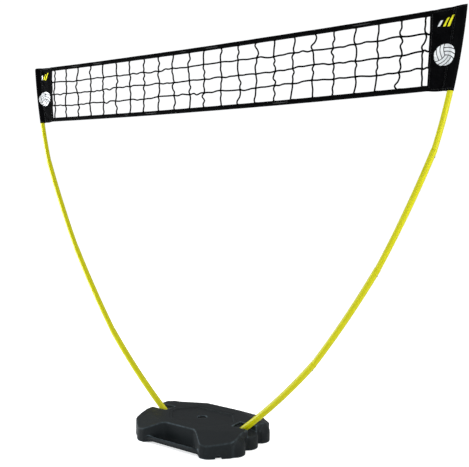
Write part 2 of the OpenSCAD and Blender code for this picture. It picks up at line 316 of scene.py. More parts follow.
def pole_lacquer():
    """Yellow glass-fibre tube: lengthwise fibre streaks under satin lacquer, with scuffs."""
    m = Recipe("pole_lacquer")
    streak = m.noise(3.2, 7, 0.65, m.tube_space(1.5))
    tone = m.mix(m.ramp(streak, 0.30, 0.72), (0.56, 0.52, 0.001, 1), (0.68, 0.645, 0.003, 1))
    patch = m.ramp(m.noise(4, 3), 0.35, 0.75, 0.0, 0.35)
    tone = m.mix(patch, tone, (0.61, 0.60, 0.002, 1))
    scuff = m.ramp(m.noise(2.2, 9, 0.8, m.tube_space(9.0), 0.5), 0.655, 0.70)
    scuff = m.maths("MULTIPLY", scuff, m.ramp(m.attribute("rub"), 0.0, 1.0, 0.10, 0.9))
    tone = m.mix(scuff, tone, (0.33, 0.30, 0.03, 1))
    fibres = m.bump(m.noise(14, 4, 0.6, m.tube_space(1.2)), 0.22, 0.0004)
    fibres = m.bump(m.noise(500, 2), 0.10, 0.0002, fibres)
    rough = m.ramp(m.noise(30, 5, 0.7), 0.3, 0.7, 0.27, 0.42)
    return m.finish(tone, rough, fibres, Specular_IOR_Level=0.25)


def steel(name, tone):
    m = Recipe(name)
    brush = m.noise(60, 6, 0.7, m.stretch(1, 22, 1))
    base = m.mix(brush, grey(tone * 0.75, 1.03), grey(tone, 1.02))
    rough = m.ramp(brush, 0.3, 0.7, 0.24, 0.40)
    return m.finish(base, rough, m.bump(brush, 0.12, 0.0003), Metallic=1.0)


def weave(m, pitch):
    """Height of a plain weave in the X-Z plane, with threads pitch metres apart."""
    x, _, z = m.axes()
    warp, weft = m.wave(x, 2 * pitch), m.wave(z, 2 * pitch)
    over = m.maths("MULTIPLY", m.maths("SUBTRACT", warp, 0.5), m.maths("SUBTRACT", weft, 0.5))
    threads = m.maths("MAXIMUM", m.wave(x, pitch), m.wave(z, pitch))
    return m.maths("ADD", m.maths("MULTIPLY", threads, 0.5), m.maths("MULTIPLY", over, 1.6))


def panel_cloth():
    """Black woven polyester; its prints are signed distances stored on the mesh."""
    m = Recipe("panel_cloth")
    height = weave(m, 0.0011)
    tone = m.mix(m.ramp(m.noise(14, 4), 0.3, 0.7), grey(0.0008, 1.2), grey(0.0022, 1.2))
    # Painted highlight: the raised crests of the weave are painted lighter.
    tone = m.mix(m.ramp(height, 0.2, 1.0, 0.0, 0.25), tone, grey(0.009, 1.1))
    lint = m.ramp(m.noise(700, 2, 0.5), 0.70, 0.74, 0.0, 0.2)
    tone = m.mix(lint, tone, grey(0.04))
    inked = m.ramp(m.noise(420, 3, 0.6), 0.66, 0.74, 1.0, 0.75)
    for print_name, ink in (("ink_white", grey(0.92)), ("ink_yellow", (0.92, 0.86, 0.03, 1))):
        inside = m.ramp(m.attribute(print_name), -0.0003, 0.0003, 1.0, 0.0)
        tone = m.mix(m.maths("MULTIPLY", inside, inked), tone, ink)
    fuzz = m.bump(m.noise(2600, 2), 0.25, 0.0003)
    return m.finish(tone, 0.82, m.bump(height, 0.45, 0.0004, fuzz), Specular_IOR_Level=0.03)


def band_tape():
    """Black webbing tape with a slanting twill rib; u runs round it and v along it."""
    m = Recipe("band_tape")
    around, along = m.uv()
    rib = m.wave(m.maths("ADD", along, m.maths("MULTIPLY", around, 0.8)), 0.0022)
    rows = m.wave(around, 0.0016)
    height = m.maths("ADD", m.maths("MULTIPLY", rib, 0.7), m.maths("MULTIPLY", rows, 0.3))
    tone = m.mix(m.ramp(m.noise(11, 4), 0.3, 0.7), grey(0.0008, 1.1), grey(0.0022, 1.1))
    # Painted highlight: the raised crests of the twill rib are painted lighter.
    tone = m.mix(m.ramp(height, 0.5, 1.0, 0.0, 0.3), tone, grey(0.009, 1.1))
    fuzz = m.bump(m.noise(2200, 2), 0.3, 0.0003)
    return m.finish(tone, 0.85, m.bump(height, 0.5, 0.0004, fuzz), Specular_IOR_Level=0.03)


def twisted_yarn(name, dark, light):
    """Three-strand twisted cord, from the twist count in its texture coordinates."""
    m = Recipe(name)
    around, twists = m.uv()
    strand = m.wave(m.maths("ADD", m.maths("MULTIPLY", around, 3.0), twists), 1.0)
    fuzz = m.noise(1800, 3)
    # Painted shade and highlight: the grooves between the strands are painted darker and their crests
    # lighter.
    tone = m.mix(strand, grey(dark, 1.05), grey(light, 1.05))
    tone = m.mix(m.ramp(fuzz, 0.55, 0.8, 0.0, 0.4), tone, grey(0.010))
    hairy = m.bump(strand, 0.7, 0.0007, m.bump(fuzz, 0.4, 0.0003))
    return m.finish(tone, 0.88, hairy, Specular_IOR_Level=0.04)


def braided_cord():
    """Round braid on the hidden tension cords, which run along X."""
    m = Recipe("braided_cord")
    x, y, z = m.axes()
    slant = m.maths("ADD", x, z)
    counter = m.maths("SUBTRACT", x, y)
    braid = m.maths("MAXIMUM", m.wave(slant, 0.004), m.wave(counter, 0.004))
    # Painted shade and highlight: the grooves of the braid are painted darker and its crests lighter.
    tone = m.mix(braid, grey(0.012), grey(0.055))
    return m.finish(tone, 0.8, m.bump(braid, 0.6, 0.0006, m.bump(m.noise(1500), 0.3, 0.0003)))


def sewing_thread():
    m = Recipe("sewing_thread")
    twist = m.noise(1500, 3, 0.6, m.stretch(1, 1, 4))
    tone = m.mix(twist, grey(0.022), grey(0.060, 1.05))
    return m.finish(tone, 0.6, m.bump(twist, 0.4, 0.0002), Sheen_Weight=0.1)


MAT = {
    "tank": tank_plastic(),
    "plug": hard_plastic("plug_plastic", 0.002, 0.006),
    "seal": seal_rubber(),
    "pole": pole_lacquer(),
    "pole_cap": hard_plastic("cap_plastic", 0.012, 0.035),
    "button": steel("button_steel", 0.62),
    "spring": steel("spring_steel", 0.48),
    "panel_cloth": panel_cloth(),
    "net_cord": twisted_yarn("net_yarn", 0.001, 0.004),
    "band_tape": band_tape(),
    "tension_cord": braided_cord(),
    "thread": sewing_thread(),
}

for subpart in frame["record"]["subparts"]:
    slots = nodes[subpart["node"]].data.materials
    slots.clear()
    slots.append(MAT[subpart["material_slot"]])

# ---------------------------------------------------------------- base tank, as one smooth distance field
# Millimetres. The tank is symmetric about both vertical planes, so x and y are used as sizes.

TANK_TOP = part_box("base_tank")[1].z / MM
TANK_FOOT_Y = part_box("base_tank")[1].y / MM
LOBE_R, LOBE_PITCH, LOBE_H = 60.0, 125.0, 48.0
LOBE_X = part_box("base_tank")[1].x / MM - LOBE_R
TANK_END = LOBE_X + 32.0
END_HALF_W = 188.0
RECESS_BACK, RECESS_HALF = 208.0, 107.0
FOOT_INNER, FOOT_OUTER = 196.0, 238.0
GRIP_Y, GRIP_Z, GRIP_R, GRIP_ROOT = TANK_FOOT_Y - 20.0, 23.0, 13.0, 12.0
PANEL_TIP, PANEL_CORNER = (205.0, 24.0), (128.0, 124.0)
PANEL_DROP, RIM_DROP, RIM_W = 8.0, 2.0, 14.0
SHOULDER = (324.0, 104.0, TANK_TOP)
RIDGE_END = (217.0, TANK_FOOT_Y, 76.0)
NOTCH_OUT, NOTCH_R, NOTCH_H = 14.0, 18.0, 66.0
ARCH_AT, ARCH_R, ARCH_SQUASH, ARCH_FROM = 49.0, 24.0, 1.4, 500.0
UNDER_X, UNDER_Y, UNDER_RISE = 296.0, 162.0, 6.0
RIB_X, RIB_HALF_W = 150.0, 8.0
WELL_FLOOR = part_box("plug_seal")[0].z / MM
WELL_R, NECK_R, BORE_FLOOR = 26.0, 16.0, 30.0
SOCKET_PLAY = 0.6
TROUGH_X, TROUGH_DROP, TROUGH_HALF_W = 234.0, 15.0, 42.0
TROUGH_TILT = math.radians(11)
GRID = 2.6

# The poles' curve, in metres. The foot tubes' curve also shapes the sockets in the tank.
POLE_FOOT = np.array([0.206, 0.030])
FOOT_LEAN = math.radians(51.2)
LENGTHS = (0.709, 0.606, 0.606, 0.606)
BENDS = np.radians((11.7, 6.2, 5.9, 11.9))
KINKS = np.radians((3.8, 2.5, 5.5))
TUBE_R = (0.018, 0.0165, 0.015, 0.0135)
TUBE_WALL = 0.0013
SPIGOT, LIP, BUTTON_DROP = 0.090, 0.002, 0.030
BUTTON_HOLE_R, CUTTER_LENGTH, CUTTER_OUT = 0.00415, 0.030, 0.017
JOINT_BLEND, RUB_REACH = 0.003, 0.05


def arc_centre(arc):
    start, lean, radius = arc
    return start + radius * np.array([-math.cos(lean), math.sin(lean)])


def arc_point(arc, s):
    """Point in the X-Z plane at arc length s, and the lean from vertical there."""
    lean = arc[1] - np.asarray(s) / arc[2]
    return arc_centre(arc) + arc[2] * np.stack([np.cos(lean), -np.sin(lean)], -1), lean


def pole_arcs():
    """Start, lean and radius of each tube's arc on the right-hand pole."""
    arcs, start, lean = [], POLE_FOOT, FOOT_LEAN
    for length, bend, kink in zip(LENGTHS, BENDS, (*KINKS, 0)):
        arcs.append((start, lean, length / bend))
        start = arc_point(arcs[-1], length)[0]
        lean -= bend + kink
    return arcs


ARCS = pole_arcs()


def soft_min(a, b, k):
    h = np.clip(0.5 + 0.5 * (b - a) / k, 0, 1)
    return b + (a - b) * h - k * h * (1 - h)


def soft_max(a, b, k):
    return -soft_min(-a, -b, k)


def beyond(u, v, p, q):
    """Distance of (u, v) to the right of the line from p to q."""
    du, dv = q[0] - p[0], q[1] - p[1]
    return ((u - p[0]) * dv - (v - p[1]) * du) / math.hypot(du, dv)


def above(x, y, z, a, b, c):
    """Distance above the plane through three points."""
    normal = np.cross(np.subtract(b, a), np.subtract(c, a))
    normal = normal * math.copysign(1, normal[2]) / np.linalg.norm(normal)
    return (x - a[0]) * normal[0] + (y - a[1]) * normal[1] + (z - a[2]) * normal[2]


def tank_body(x, y, z):
    """Blended block of the tank: flat top, sloping feet, end lobes."""
    hexagon = np.maximum(np.maximum(x - PANEL_TIP[0], y - PANEL_CORNER[1]),
                         beyond(x, y, PANEL_TIP, PANEL_CORNER))
    rim = RIM_DROP * smoothstep((RIM_W - hexagon) / 4)
    panel = (PANEL_DROP - RIM_DROP) * smoothstep(-hexagon / 5) + rim
    slope = above(x, y, z, (RECESS_HALF, RECESS_BACK, TANK_TOP), SHOULDER, RIDGE_END)
    lid = soft_max(z - TANK_TOP + panel, slope, 4)
    corner = beyond(x, y, (TANK_END, END_HALF_W), (FOOT_OUTER, TANK_FOOT_Y))
    walls = soft_max(soft_max(x - TANK_END, corner, 16), y - TANK_FOOT_Y, 16)
    body = soft_max(lid, walls, 6)
    across = np.minimum(y, np.abs(y - LOBE_PITCH))
    lobes = np.sqrt((x - LOBE_X) ** 2 + across ** 2 + np.maximum(z - LOBE_H, 0) ** 2) - LOBE_R
    body = soft_min(body, lobes, 9)
    gap_x, gap_y = x - TANK_END - NOTCH_OUT, y - LOBE_PITCH / 2
    notch = np.sqrt(gap_x ** 2 + gap_y ** 2 + np.maximum(z - NOTCH_H, 0) ** 2) - NOTCH_R
    body = soft_max(body, -notch, 6)
    arch = np.hypot(x - y - ARCH_AT, ARCH_SQUASH * z) - ARCH_R
    return soft_max(body, -np.maximum(arch, ARCH_FROM - x - y), 6)


def tank_field(x, y, z):
    """Signed distance to the tank's surface, negative inside."""
    x, y = np.abs(x), np.abs(y)
    body = tank_body(x, y, z)
    flank = beyond(x, y, (RECESS_HALF, RECESS_BACK), (FOOT_INNER, TANK_FOOT_Y))
    recess = soft_max(RECESS_BACK - y, flank, 12)
    body = soft_max(body, -recess, 4)
    grip = np.maximum(np.hypot(y - GRIP_Y, z - GRIP_Z) - GRIP_R, x - FOOT_INNER - GRIP_ROOT)
    body = soft_min(body, grip, 7)
    out, up = x - TROUGH_X, z - TANK_TOP + TROUGH_DROP
    along = out * math.cos(TROUGH_TILT) - up * math.sin(TROUGH_TILT)
    rise = out * math.sin(TROUGH_TILT) + up * math.cos(TROUGH_TILT)
    trough = soft_max(soft_max(-along, y - TROUGH_HALF_W, 10), -rise, 5)
    body = soft_max(body, -trough, 5)
    middle = arc_centre(ARCS[0]) / MM
    off_curve = np.hypot(x - middle[0], z - middle[1]) - ARCS[0][2] / MM
    socket = np.hypot(off_curve, y) - TUBE_R[0] / MM - SOCKET_PLAY
    body = soft_max(body, -np.maximum(socket, BORE_FLOOR - z), 3)
    axle = np.hypot(x, y)
    body = soft_max(body, -np.maximum(axle - WELL_R, WELL_FLOOR - z), 2.5)
    body = soft_max(body, -np.maximum(axle - NECK_R, BORE_FLOOR - z), 1.5)
    inset = np.minimum(UNDER_X - x, UNDER_Y - y)
    rib = 1 - 0.7 * smoothstep((RIB_HALF_W - np.abs(x - RIB_X)) / 5)
    return soft_max(body, UNDER_RISE * smoothstep(inset / 12) * rib - z, 4)


def surface_nets(field, low, high, step):
    """Quads on the zero surface of a field sampled on a grid."""
    axes = [np.arange(a - 2 * step, b + 3 * step, step) for a, b in zip(low, high)]
    values = field(*np.meshgrid(*axes, indexing="ij", sparse=True))
    shape = np.array(values.shape) - 1
    total, hits = np.zeros((*shape, 3), np.float32), np.zeros(shape, np.int8)
    crossings = []
    for axis in range(3):
        others = [a for a in range(3) if a != axis]
        first = np.moveaxis(values, axis, 0)[:-1]
        second = np.moveaxis(values, axis, 0)[1:]
        first, second = np.moveaxis(first, 0, axis), np.moveaxis(second, 0, axis)
        crosses = (first < 0) != (second < 0)
        share = np.where(crosses, first / np.where(crosses, first - second, 1), 0)
        crossings.append((crosses, first < 0))
        for du in (0, 1):
            for dv in (0, 1):
                cut = [slice(None)] * 3
                cut[others[0]] = slice(du, du + shape[others[0]])
                cut[others[1]] = slice(dv, dv + shape[others[1]])
                part, hit = share[tuple(cut)], crosses[tuple(cut)]
                total[..., axis] += part
                total[..., others[0]] += du * hit
                total[..., others[1]] += dv * hit
                hits += hit
    used = np.argwhere(hits > 0)
    index = -np.ones(shape, np.int64)
    index[tuple(used.T)] = np.arange(len(used))
    offset = total[tuple(used.T)] / hits[tuple(used.T)][:, None]
    verts = np.array([a[0] for a in axes]) + (used + offset) * step
    faces = []
    for axis, (crosses, inside) in enumerate(crossings):
        u, v = [a for a in range(3) if a != axis]
        at = np.argwhere(crosses)
        at = at[(at[:, u] > 0) & (at[:, v] > 0) & (at[:, u] < shape[u]) & (at[:, v] < shape[v])]
        ring = []
        for du, dv in ((1, 1), (0, 1), (0, 0), (1, 0)):
            cell = at.copy()
            cell[:, u] -= du
            cell[:, v] -= dv
            ring.append(index[tuple(cell.T)])
        quad = np.stack(ring, -1)
        outward = inside[tuple(at.T)] ^ (axis == 1)
        faces.append(np.where(outward[:, None], quad, quad[:, ::-1]))
    return verts, np.concatenate(faces)


def field_slope(field, points, gap=0.25):
    """Gradient of a field at points."""
    columns = []
    for axis in range(3):
        ahead, behind = points.copy(), points.copy()
        ahead[:, axis] += gap
        behind[:, axis] -= gap
        columns.append((field(*ahead.T) - field(*behind.T)) / (2 * gap))
    return np.stack(columns, -1)


def build_tank():
    """Moulded tank shell with rounded edges, and numbers for settled dust and for pale ridges, partly
    scuffs and partly a painted highlight.
    """
    low = (-LOBE_X - LOBE_R, -TANK_FOOT_Y, 0)
    high = (LOBE_X + LOBE_R, TANK_FOOT_Y, TANK_TOP)
    verts, faces = surface_nets(tank_field, low, high, GRID)
    for _ in range(3):
        slope = field_slope(tank_field, verts)
        step = tank_field(*verts.T)[:, None] * slope / np.maximum((slope ** 2).sum(1), 0.2)[:, None]
        verts -= np.clip(step, -GRID / 2, GRID / 2)
    normal = field_slope(tank_field, verts)
    normal /= np.linalg.norm(normal, axis=1)[:, None]
    shape = Shape()
    shape.add(verts * MM, faces)
    tank = shape.build("tank_shell", MAT["tank"])
    depth, reach = 5.0, 6.0
    # Painted highlight mixed with real scuffing: convex ridges get a number that paints them pale.
    edge = (tank_field(*(verts - depth * normal).T) + depth) / 2.0
    # The top of the grip bar is painted pale as well, partly scuffing and partly a painted highlight.
    grip_rub_and_highlight = np.hypot(np.abs(verts[:, 1]) - GRIP_Y, verts[:, 2] - GRIP_Z - GRIP_R) / 6
    edge += 0.9 * np.exp(-grip_rub_and_highlight ** 2) * (np.abs(verts[:, 0]) < FOOT_INNER)
    set_attribute(tank, "edge", np.clip(edge - 0.15, 0, 1))
    crevice = (reach - tank_field(*(verts + reach * normal).T)) / 3.0
    flat = 0.25 * np.clip(normal[:, 2], 0, 1)
    set_attribute(tank, "dust", np.clip(crevice * (normal[:, 2] > -0.3) + flat, 0, 1))
    place(tank, "stand", "tank", "base_tank")


# ---------------------------------------------------------------- filler plug and its seal

def add_lathe(shape, profile, sides, radius_at, height_at):
    """Turned form about Z from (radius, height) points; the two functions vary it round the axis."""
    profile = np.asarray(profile, float)
    turn = np.arange(sides) * 2 * math.pi / sides
    radius = np.repeat(profile[:, :1], sides, 1)
    height = np.repeat(profile[:, 1:], sides, 1)
    radius = radius_at(radius, height, turn)
    height = height_at(radius, height, turn)
    verts = np.stack([radius * np.cos(turn), radius * np.sin(turn), height], -1).reshape(-1, 3)
    faces, _ = grid_faces(len(profile), sides, wrap_cols=True)
    shape.add(verts * MM, [*faces, tuple(range(sides)), tuple(range(len(verts) - sides, len(verts)))])


HEAD_H, HEAD_ROUND, THREAD_PITCH, THREAD_DEPTH, FINGER_BAR_H = 4.0, 1.4, 4.0, 0.8, 4.0


def build_plug():
    """Knurled head with a finger bar, over a skirt with a screw thread."""
    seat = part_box("filler_plug")[0].z / MM
    head_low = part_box("plug_seal")[1].z / MM
    head_high = head_low + HEAD_H
    head_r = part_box("filler_plug")[1].x / MM
    skirt_r = NECK_R - 0.1
    edge_r, edge_z = head_r - HEAD_ROUND, head_high - HEAD_ROUND
    top = [(r, head_high) for r in np.linspace(0.1, edge_r, 26)]
    rim = [(edge_r + HEAD_ROUND * math.sin(a), edge_z + HEAD_ROUND * math.cos(a))
           for a in np.radians(np.arange(15, 91, 15))]
    wall = [(head_r, z) for z in np.linspace(head_high - 1.6, head_low + 0.5, 5)]
    under = [(head_r - 0.5, head_low), (skirt_r - THREAD_DEPTH, head_low)]
    skirt = [(skirt_r - THREAD_DEPTH, z) for z in np.linspace(head_low - 0.5, seat + 1.0, 34)]
    foot = [(skirt_r - 1.8, seat), (12.0, seat), (11.5, seat + 3), (0.1, seat + 3)]

    def knurl_and_thread(radius, height, turn):
        knurled = (radius > head_r - 0.3) & (height < head_high - 0.6)
        radius = radius - 0.45 * knurled * (0.5 - 0.5 * np.cos(40 * turn))
        on_skirt = (np.abs(radius - skirt_r + THREAD_DEPTH) < 0.01) & (height < head_low - 0.8)
        crest = np.abs((height / THREAD_PITCH - turn / (2 * math.pi)) % 1.0 - 0.5) * 2
        return radius + on_skirt * (THREAD_DEPTH * smoothstep((0.6 - crest) / 0.35))

    def finger_bar(radius, height, turn):
        x, y = radius * np.cos(turn), radius * np.sin(turn)
        bar = smoothstep((3.6 - np.abs(y)) / 1.4) * smoothstep((17.8 - np.abs(x)) / 2.0)
        return height + (height > head_high - 0.01) * FINGER_BAR_H * bar

    shape = Shape()
    add_lathe(shape, top + rim + wall + under + skirt + foot, 160, knurl_and_thread, finger_bar)
    place(shape.build("screw_plug", MAT["plug"]), "plug", "plug", "filler_plug")


def build_seal():
    low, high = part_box("plug_seal")
    outer, inner = high.x / MM, NECK_R + 0.2
    middle, half_w, half_h = (outer + inner) / 2, (outer - inner) / 2, (high.z - low.z) / MM / 2
    lift = (high.z + low.z) / MM / 2
    corners, sides = 24, 96
    turn = np.arange(corners) * 2 * math.pi / corners
    squared = [np.sqrt(np.abs(wave(turn))) * np.sign(wave(turn)) for wave in (np.cos, np.sin)]
    around = np.arange(sides) * 2 * math.pi / sides
    radius = (middle + half_w * squared[0])[:, None]
    verts = np.stack(np.broadcast_arrays(radius * np.cos(around), radius * np.sin(around),
                                         (lift + half_h * squared[1])[:, None]), -1)
    faces, _ = grid_faces(corners, sides, True, True)
    shape = Shape()
    shape.add(verts.reshape(-1, 3) * MM, faces)
    place(shape.build("seal_gasket", MAT["seal"]), "seal_ring", "seal", "plug_seal")


# ---------------------------------------------------------------- poles

def pole_at(i, s):
    """Point and lean on tube i; a negative s is on its spigot, inside the tube below."""
    s = np.asarray(s, float)
    point, lean = arc_point(ARCS[i], s)
    if i == 0:
        return point, lean
    below, below_lean = arc_point(ARCS[i - 1], LENGTHS[i - 1] + s)
    share = smoothstep((s + JOINT_BLEND) / (2 * JOINT_BLEND))
    return below + (point - below) * share[..., None], below_lean + (lean - below_lean) * share


def tube_profile(i):
    """Closed outline of a tube's wall as (arc length, radius), with rounded ends."""
    outer, half = TUBE_R[i], TUBE_WALL / 2
    bottom, mouth = (0.0 if i == 0 else -SPIGOT), LENGTHS[i] - LIP
    stretch = np.linspace(bottom + half, mouth - half, 72)
    if i:
        stretch = np.sort(np.concatenate([stretch, np.linspace(-0.004, 0.004, 9)]))
    turn = np.radians(np.arange(20, 180, 20))
    lip = [(mouth - half + half * math.sin(a), outer - half + half * math.cos(a)) for a in turn]
    foot = [(bottom + half - half * math.sin(a), outer - half - half * math.cos(a)) for a in turn]
    wall = [(s, outer) for s in stretch]
    bore = [(s, outer - TUBE_WALL) for s in stretch[::-1]]
    return np.array(wall + lip + bore + foot)


def button_cutter(i, s, flip):
    """Round pin that cuts the button's hole through one wall of tube i."""
    point, lean = arc_point(ARCS[i], s)
    bpy.ops.mesh.primitive_cylinder_add(vertices=32, radius=BUTTON_HOLE_R, depth=CUTTER_LENGTH)
    cutter = bpy.context.object
    out = Vector((flip * math.cos(lean), 0, -math.sin(lean)))
    middle = Vector((flip * point[0], 0, point[1])) + out * CUTTER_OUT
    cutter.matrix_world = Matrix.Translation(middle) @ out.to_track_quat("Z", "Y").to_matrix().to_4x4()
    return cutter


def cut_away(piece, cutter):
    """Subtracts one object from another for good."""
    modifier = piece.modifiers.new("hole", "BOOLEAN")
    modifier.operation = "DIFFERENCE"
    modifier.solver = "EXACT"
    modifier.object = cutter
    bpy.context.view_layer.update()
    done = bpy.data.meshes.new_from_object(piece.evaluated_get(bpy.context.evaluated_depsgraph_get()))
    piece.modifiers.clear()
    piece.data = done
    bpy.data.objects.remove(cutter)


def build_tube(i, part, side, flip):
    """One curved tube with its button holes, and a number for rubbing near the joints."""
    profile = tube_profile(i)
    point, lean = pole_at(i, profile[:, 0])
    sides = 56
    turn = np.arange(sides) * 2 * math.pi / sides
    out = profile[:, 1:] * np.cos(turn)
    verts = np.stack([
        flip * (point[:, :1] + out * np.cos(lean)[:, None]),
        profile[:, 1:] * np.sin(turn),
        point[:, 1:] - out * np.sin(lean)[:, None],
    ], -1).reshape(-1, 3)
    faces, places = grid_faces(len(profile), sides, True, True)
    uvs = np.stack([places[..., 1] / sides, profile[places[..., 0] % len(profile), 0] + 3 * i], -1)
    if flip > 0:
        faces, uvs = faces[:, ::-1], uvs[:, ::-1]
    shape = Shape()
    shape.add(verts, faces, uvs)
    tube = shape.build(f"{side}_{part}_tube", MAT["pole"])
    if i < len(LENGTHS) - 1:
        cut_away(tube, button_cutter(i, LENGTHS[i] - LIP - BUTTON_DROP, flip))
    if i > 0:
        cut_away(tube, button_cutter(i - 1, LENGTHS[i - 1] - LIP - BUTTON_DROP, flip))
    spots = np.array([[v.co.x, v.co.z] for v in tube.data.vertices])
    rub = np.full(len(spots), 0.10)
    for arc, length in zip(ARCS, LENGTHS):
        joint = arc_point(arc, length)[0] * (flip, 1)
        rub += np.exp(-np.linalg.norm(spots - joint, axis=1) / RUB_REACH)
    set_attribute(tube, "rub", np.clip(rub, 0, 1))
    place(tube, "stand", "pole", f"{side}_{part}_section")


def build_poles():
    for side, flip in SIDES:
        for i, part in enumerate(("foot", "lower", "upper", "top")):
            build_tube(i, part, side, flip)


# ---------------------------------------------------------------- net, bands and end panels

NET_BOTTOM, NET_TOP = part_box("right_end_panel")[0].z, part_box("right_end_panel")[1].z
HALF_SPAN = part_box("top_band")[1].x
EDGE_DROP, BAND_H = 0.006, 0.025
TOP_SAG = NET_TOP - EDGE_DROP - BAND_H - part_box("top_band")[0].z
BOTTOM_SAG = NET_BOTTOM + EDGE_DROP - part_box("bottom_band")[0].z
COLUMNS, ROWS, END_GAP = 22, 4, 0.020
CORD_R, KNOT_CORD_R, KNOT_SIZE, KNOT_SIDES = 0.0043, 0.0024, 0.0056, 7
COLUMN_TUCK, ROW_TUCK = 0.007, 0.006
KNOT_WANDER, LOW_END_WANDER, HIGH_END_WANDER = (0.0055, 0.0012, 0.0035), 0.006, 0.003
COLUMN_SLACK, ROW_SLACK = (0.0048, 0.0012, 0.001), (0.001, 0.0010, 0.0024)
BAND_OVERLAP, BAND_THIN, BAND_SWELL = 0.014, 0.0010, 0.0027
STITCH_LIFT = 0.0002
CORD_X = np.linspace(-HALF_SPAN + END_GAP, HALF_SPAN - END_GAP, COLUMNS + 1)


def top_edge(x):
    return NET_TOP - EDGE_DROP - TOP_SAG * np.clip(1 - (x / HALF_SPAN) ** 2, 0, 1)


def bottom_edge(x):
    return NET_BOTTOM + EDGE_DROP - BOTTOM_SAG * np.clip(1 - (x / HALF_SPAN) ** 2, 0, 1)


def row_height(x, share):
    return (bottom_edge(x) + BAND_H) * (1 - share) + (top_edge(x) - BAND_H) * share


def slack(points, spread):
    """Adds three wandering points between neighbours, as in cord that hangs slack between knots."""
    wandering = []
    for a, b in zip(points, points[1:]):
        wandering.append(a)
        for t in (0.25, 0.5, 0.75):
            wandering.append(a + (b - a) * t + rng.normal(0, spread))
    return np.array(wandering + [points[-1]])


def add_knot(shape, middle, size):
    """Small trefoil of cord, turned at random."""
    t = np.linspace(0, 2 * math.pi, 37)
    loop = np.stack([np.sin(t) + 2 * np.sin(2 * t), -0.75 * np.sin(3 * t),
                     np.cos(t) - 2 * np.cos(2 * t)], -1)
    spin = rng.uniform(0, 2 * math.pi)
    turned = loop.copy()
    turned[:, 0] = loop[:, 0] * math.cos(spin) - loop[:, 2] * math.sin(spin)
    turned[:, 2] = loop[:, 0] * math.sin(spin) + loop[:, 2] * math.cos(spin)
    add_cord(shape, middle + turned * size / 3, KNOT_CORD_R, KNOT_SIDES)


def build_net():
    """Knotted cord grid, tucked into the bands and the end panels."""
    shares = np.arange(ROWS + 1) / ROWS
    knots = np.zeros((COLUMNS + 1, ROWS + 1, 3))
    knots[..., 0] = CORD_X[:, None]
    knots[..., 2] = row_height(CORD_X[:, None], shares)
    knots[:, 1:-1] += rng.normal(0, KNOT_WANDER, (COLUMNS + 1, ROWS - 1, 3))
    knots[:, 0, 0] += rng.normal(0, LOW_END_WANDER, COLUMNS + 1)
    knots[:, -1, 0] += rng.normal(0, HIGH_END_WANDER, COLUMNS + 1)
    shape = Shape()
    for column in knots:
        tuck = np.array((0, 0, COLUMN_TUCK))
        tucked = np.vstack([column[0] - tuck, column[1:-1], column[-1] + tuck])
        add_cord(shape, smooth_path(slack(tucked, COLUMN_SLACK), 4), CORD_R)
    for j in range(1, ROWS):
        ends = [np.array([flip * (HALF_SPAN + ROW_TUCK), 0, row_height(HALF_SPAN, j / ROWS)])
                for _, flip in SIDES]
        line = slack(np.vstack([ends[0], knots[:, j], ends[1]]), ROW_SLACK)
        add_cord(shape, smooth_path(line, 4), CORD_R)
    for middle in knots[:, 1:-1].reshape(-1, 3):
        add_knot(shape, middle, KNOT_SIZE)
    place(shape.build("net_cords", MAT["net_cord"]), "stand", "net_cord", "net_mesh")


def add_stitches(shape, path, lift, pitch=0.0068, length=0.0044):
    """Row of raised stitches along a path, lifted off the cloth by a vector."""
    path = np.asarray(path, float) + lift
    travel = np.concatenate([[0.0], np.cumsum(np.linalg.norm(np.diff(path, axis=0), axis=1))])
    starts = np.arange(0.003, travel[-1] - length, pitch)
    marks = starts[:, None] + np.array([0.0, 0.25, 0.75, 1.0]) * length
    points = np.stack([np.interp(marks, travel, path[:, k]) for k in range(3)], -1)
    for stitch in points:
        stitch[[0, -1]] -= np.asarray(lift) * 0.9
        add_cord(shape, stitch, (0.00025, 0.0004, 0.0004, 0.00025), 6)


def band_half(h):
    """Half thickness of the folded tape at share h of its height: it swells round its cord."""
    swell = BAND_THIN + BAND_SWELL * smoothstep(1 - np.abs(h - 0.5) / 0.40)
    return swell * np.sqrt(1 - np.abs(2 * h - 1) ** 12)


def build_band(name, outer_edge, down, thread):
    """Tape folded round its tension cord, puckered where net cords pull on its inner edge."""
    x = np.linspace(-HALF_SPAN - BAND_OVERLAP, HALF_SPAN + BAND_OVERLAP, 700)
    share = 0.5 - 0.5 * np.cos(np.linspace(0, math.pi, 17))
    h = np.concatenate([share[:-1], share[::-1][:-1]])
    face = np.where(np.arange(len(h)) < len(share) - 1, -1, 1)
    pull = np.exp(-((x[:, None] - CORD_X) / 0.010) ** 2).sum(1)[:, None]
    lapped = (np.abs(x) > HALF_SPAN - 0.001)[:, None]
    half = np.maximum(band_half(h), 0.0026 * lapped * (np.abs(2 * h - 1) < 0.99))
    wave = 0.0012 * np.sin(7 * x + len(name)) + 0.0007 * np.sin(29 * x)
    wave = (wave * smoothstep((HALF_SPAN - np.abs(x)) / 0.05))[:, None]
    drop = BAND_H * h + 0.0014 * pull * h ** 3
    surface = np.stack(np.broadcast_arrays(x[:, None], wave + face * half,
                                           outer_edge(x)[:, None] - down * drop), -1)
    faces, places = grid_faces(len(x), len(h), wrap_cols=True)
    around = np.concatenate([[0], np.cumsum(np.abs(np.diff(np.concatenate([h, h[:1]])))) * BAND_H])
    uvs = np.stack([around[places[..., 1]], x[places[..., 0]]], -1)
    shape = Shape()
    verts = surface.reshape(-1, 3)
    shape.add(verts, [*faces], uvs)
    shape.add(verts[:len(h)], [tuple(range(len(h)))])
    shape.add(verts[-len(h):], [tuple(range(len(h)))])
    place(shape.build(name + "_tape", MAT["band_tape"]), "stand", "band_tape", name)
    for column in (3, 13):
        add_stitches(thread, surface[4:-4, column], (0, -STITCH_LIFT, 0))
        add_stitches(thread, surface[4:-4, 2 * (len(share) - 1) - column], (0, STITCH_LIFT, 0))


